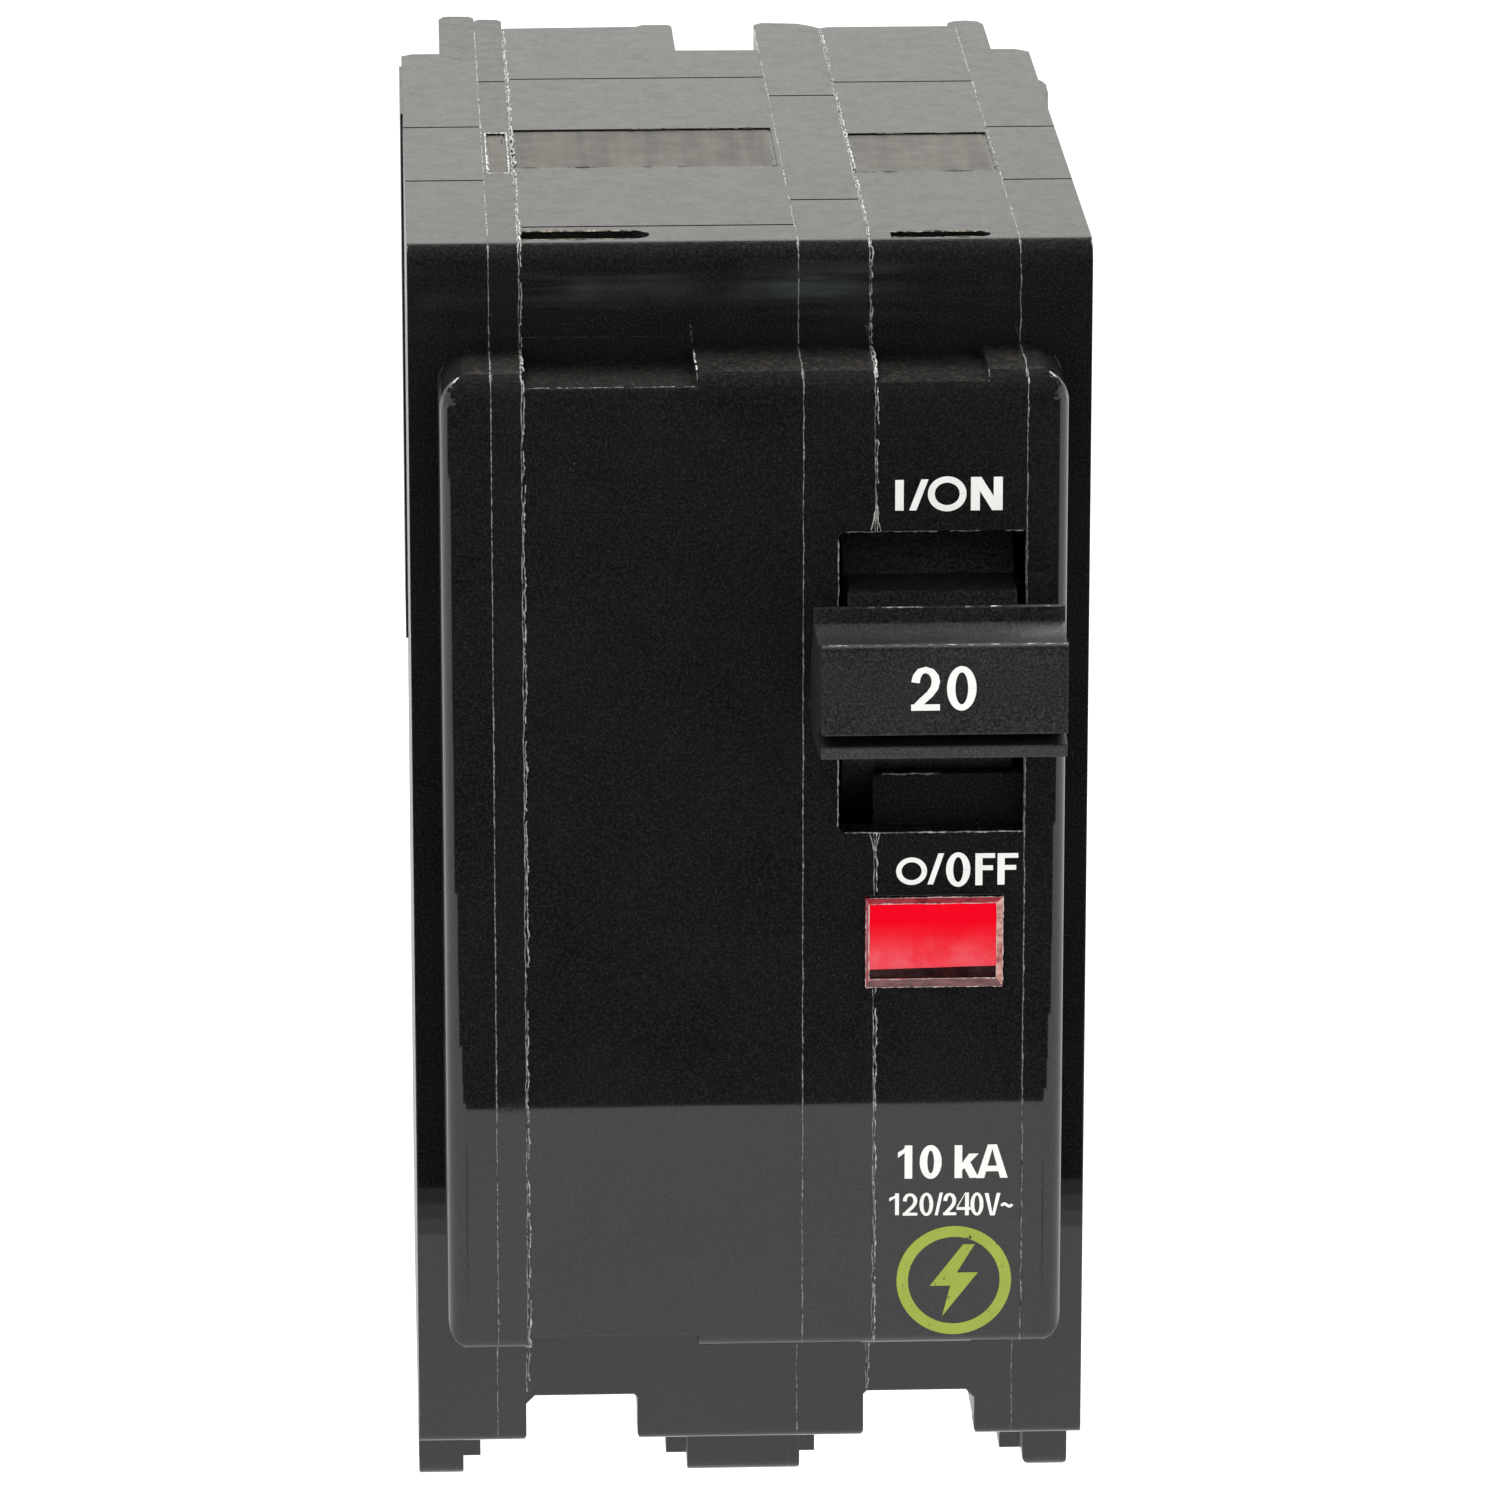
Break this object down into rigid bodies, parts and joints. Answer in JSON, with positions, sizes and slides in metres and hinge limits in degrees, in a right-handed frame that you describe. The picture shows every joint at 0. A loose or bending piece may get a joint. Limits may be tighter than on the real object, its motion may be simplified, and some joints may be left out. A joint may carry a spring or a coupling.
{
  "type": "circuit breaker",
  "caption": "Black plug-on circuit breaker with two common-trip poles, one offset toggle handle, a trip-flag window, clamp terminals and a rail hook.",
  "frame": {"origin": "midway between the two plug-on jaws, in the breaker's rear plane, at the height of the bus stabs", "axes": "+Z towards the line end (ON), -Y towards the handle and the user, +X across the poles to the right seen from the front"},
  "size_m": [0.0387, 0.0755, 0.079],
  "materials": {
    "case_plastic": "semi-gloss black moulded thermoset",
    "handle_plastic": "matte black grained moulding",
    "inner_plastic": "matte dark moulding",
    "rivet_steel": "dull nickel-plated steel",
    "clear_plastic": "clear polycarbonate",
    "flag_red": "glossy red moulding",
    "pin_steel": "ground steel",
    "copper": "plain copper",
    "contact_silver": "silver alloy",
    "spring_steel": "tempered spring steel",
    "arc_steel": "plated mild steel",
    "fibre": "red vulcanised fibre",
    "zinc_yellow": "yellow-passivated zinc plate",
    "bimetal_strip": "rolled bimetal",
    "zinc_clear": "bright zinc plate"
  },
  "bodies": {
    "case": {"left_side_cover": "case_plastic", "left_spacer_plate": "case_plastic", "left_pole_case": "case_plastic", "centre_cover": "case_plastic", "right_pole_case": "case_plastic", "right_side_cover": "case_plastic", "case_rivets": "rivet_steel", "trip_window_lens": "clear_plastic", "trip_pivot_pins": "pin_steel", "fixed_contact_left": "contact_silver", "fixed_contact_right": "contact_silver", "line_jaw_left": "copper", "line_jaw_right": "copper", "jaw_spring_left": "spring_steel", "jaw_spring_right": "spring_steel", "arc_plates_left": "arc_steel", "arc_plates_right": "arc_steel", "arc_liner_left": "fibre", "arc_liner_right": "fibre", "load_terminal_left": "zinc_yellow", "load_terminal_right": "zinc_yellow", "calibration_screw_left": "zinc_clear", "calibration_screw_right": "zinc_clear", "rail_clip_left": "spring_steel", "rail_clip_right": "spring_steel"},
    "toggle": {"handle": "handle_plastic", "drive_shaft": "pin_steel", "left_crank": "inner_plastic", "blade_pin_left": "pin_steel", "blade_pin_right": "pin_steel"},
    "trip_bar": {"common_trip_bar": "inner_plastic"},
    "lever_left": {"trip_lever_left": "zinc_yellow"},
    "lever_right": {"trip_lever_right": "zinc_yellow", "trip_flag": "flag_red"},
    "arm_left": {"moving_blade_left": "copper", "moving_contact_left": "contact_silver", "toggle_spring_left": "spring_steel"},
    "thermal_left": {"bimetal_left": "bimetal_strip", "magnet_yoke_left": "arc_steel", "armature_pin_left": "pin_steel", "braid_left": "copper"},
    "armature_left_body": {"armature_left": "arc_steel", "armature_spring_left": "spring_steel"},
    "saddle_left": {"wire_saddle_left": "zinc_clear"},
    "screw_left": {"terminal_screw_left": "zinc_yellow"},
    "arm_right": {"moving_blade_right": "copper", "moving_contact_right": "contact_silver", "toggle_spring_right": "spring_steel"},
    "thermal_right": {"bimetal_right": "bimetal_strip", "magnet_yoke_right": "arc_steel", "armature_pin_right": "pin_steel", "braid_right": "copper"},
    "armature_right_body": {"armature_right": "arc_steel", "armature_spring_right": "spring_steel"},
    "saddle_right": {"wire_saddle_right": "zinc_clear"},
    "screw_right": {"terminal_screw_right": "zinc_yellow"}
  },
  "joints": [
    {"name": "handle_toggle", "type": "hinge", "parent": "case", "child": "toggle", "pos_m": [0, -0.055, -0.0118], "axis": [-1, 0, 0], "range_deg": [-22, 22]},
    {"name": "contact_arm_left", "type": "hinge", "parent": "toggle", "child": "arm_left", "pos_m": [-0.0097, -0.0485, -0.015], "axis": [1, 0, 0], "range_deg": [-40, 40], "deforming": ["toggle_spring_left"]},
    {"name": "trip_latch_left", "type": "hinge", "parent": "case", "child": "lever_left", "pos_m": [-0.0142, -0.036, -0.029], "axis": [1, 0, 0], "range_deg": [0, 15]},
    {"name": "bimetal_bend_left", "type": "hinge", "parent": "case", "child": "thermal_left", "pos_m": [-0.0097, -0.0107, -0.04825], "axis": [-1, 0, 0], "range_deg": [0, 3], "stiffness_Nm_per_rad": 0.4, "deforming": ["braid_left"]},
    {"name": "armature_swing_left", "type": "hinge", "parent": "thermal_left", "child": "armature_left_body", "pos_m": [-0.0097, -0.016, -0.0448], "axis": [-1, 0, 0], "range_deg": [0, 5], "stiffness_Nm_per_rad": 0.02, "springref_deg": -5.73, "deforming": ["armature_spring_left"]},
    {"name": "wire_clamp_left", "type": "slide", "parent": "case", "child": "saddle_left", "axis": [0, 1, 0], "range_m": [0, 0.0045]},
    {"name": "terminal_screw_turn_left", "type": "hinge", "parent": "saddle_left", "child": "screw_left", "pos_m": [-0.0097, -0.0417, -0.0574], "axis": [0, 1, 0], "range_deg": [0, 2045]},
    {"name": "contact_arm_right", "type": "hinge", "parent": "toggle", "child": "arm_right", "pos_m": [0.0097, -0.0485, -0.015], "axis": [1, 0, 0], "range_deg": [-40, 40], "deforming": ["toggle_spring_right"]},
    {"name": "trip_latch_right", "type": "hinge", "parent": "case", "child": "lever_right", "pos_m": [0.0142, -0.036, -0.029], "axis": [1, 0, 0], "range_deg": [0, 15]},
    {"name": "bimetal_bend_right", "type": "hinge", "parent": "case", "child": "thermal_right", "pos_m": [0.0097, -0.0107, -0.04825], "axis": [-1, 0, 0], "range_deg": [0, 3], "stiffness_Nm_per_rad": 0.4, "deforming": ["braid_right"]},
    {"name": "armature_swing_right", "type": "hinge", "parent": "thermal_right", "child": "armature_right_body", "pos_m": [0.0097, -0.016, -0.0448], "axis": [-1, 0, 0], "range_deg": [0, 5], "stiffness_Nm_per_rad": 0.02, "springref_deg": -5.73, "deforming": ["armature_spring_right"]},
    {"name": "wire_clamp_right", "type": "slide", "parent": "case", "child": "saddle_right", "axis": [0, 1, 0], "range_m": [0, 0.0045]},
    {"name": "terminal_screw_turn_right", "type": "hinge", "parent": "saddle_right", "child": "screw_right", "pos_m": [0.0097, -0.0417, -0.0574], "axis": [0, 1, 0], "range_deg": [0, 2045]},
    {"name": "trip_bar_turn", "type": "hinge", "parent": "case", "child": "trip_bar", "pos_m": [0, -0.03, -0.0405], "axis": [1, 0, 0], "range_deg": [-8, 0.5]}
  ],
  "couplings": [
    {"joint": "contact_arm_left", "follows": "handle_toggle", "ratio": 1.78},
    {"joint": "terminal_screw_turn_left", "follows": "wire_clamp_left", "rad_per_m": 7917},
    {"joint": "contact_arm_right", "follows": "handle_toggle", "ratio": 1.78},
    {"joint": "terminal_screw_turn_right", "follows": "wire_clamp_right", "rad_per_m": 7917},
    {"joint": "trip_latch_left", "follows": "trip_latch_right", "ratio": 1},
    {"joint": "trip_bar_turn", "follows": "trip_latch_right", "ratio": -0.5}
  ]
}
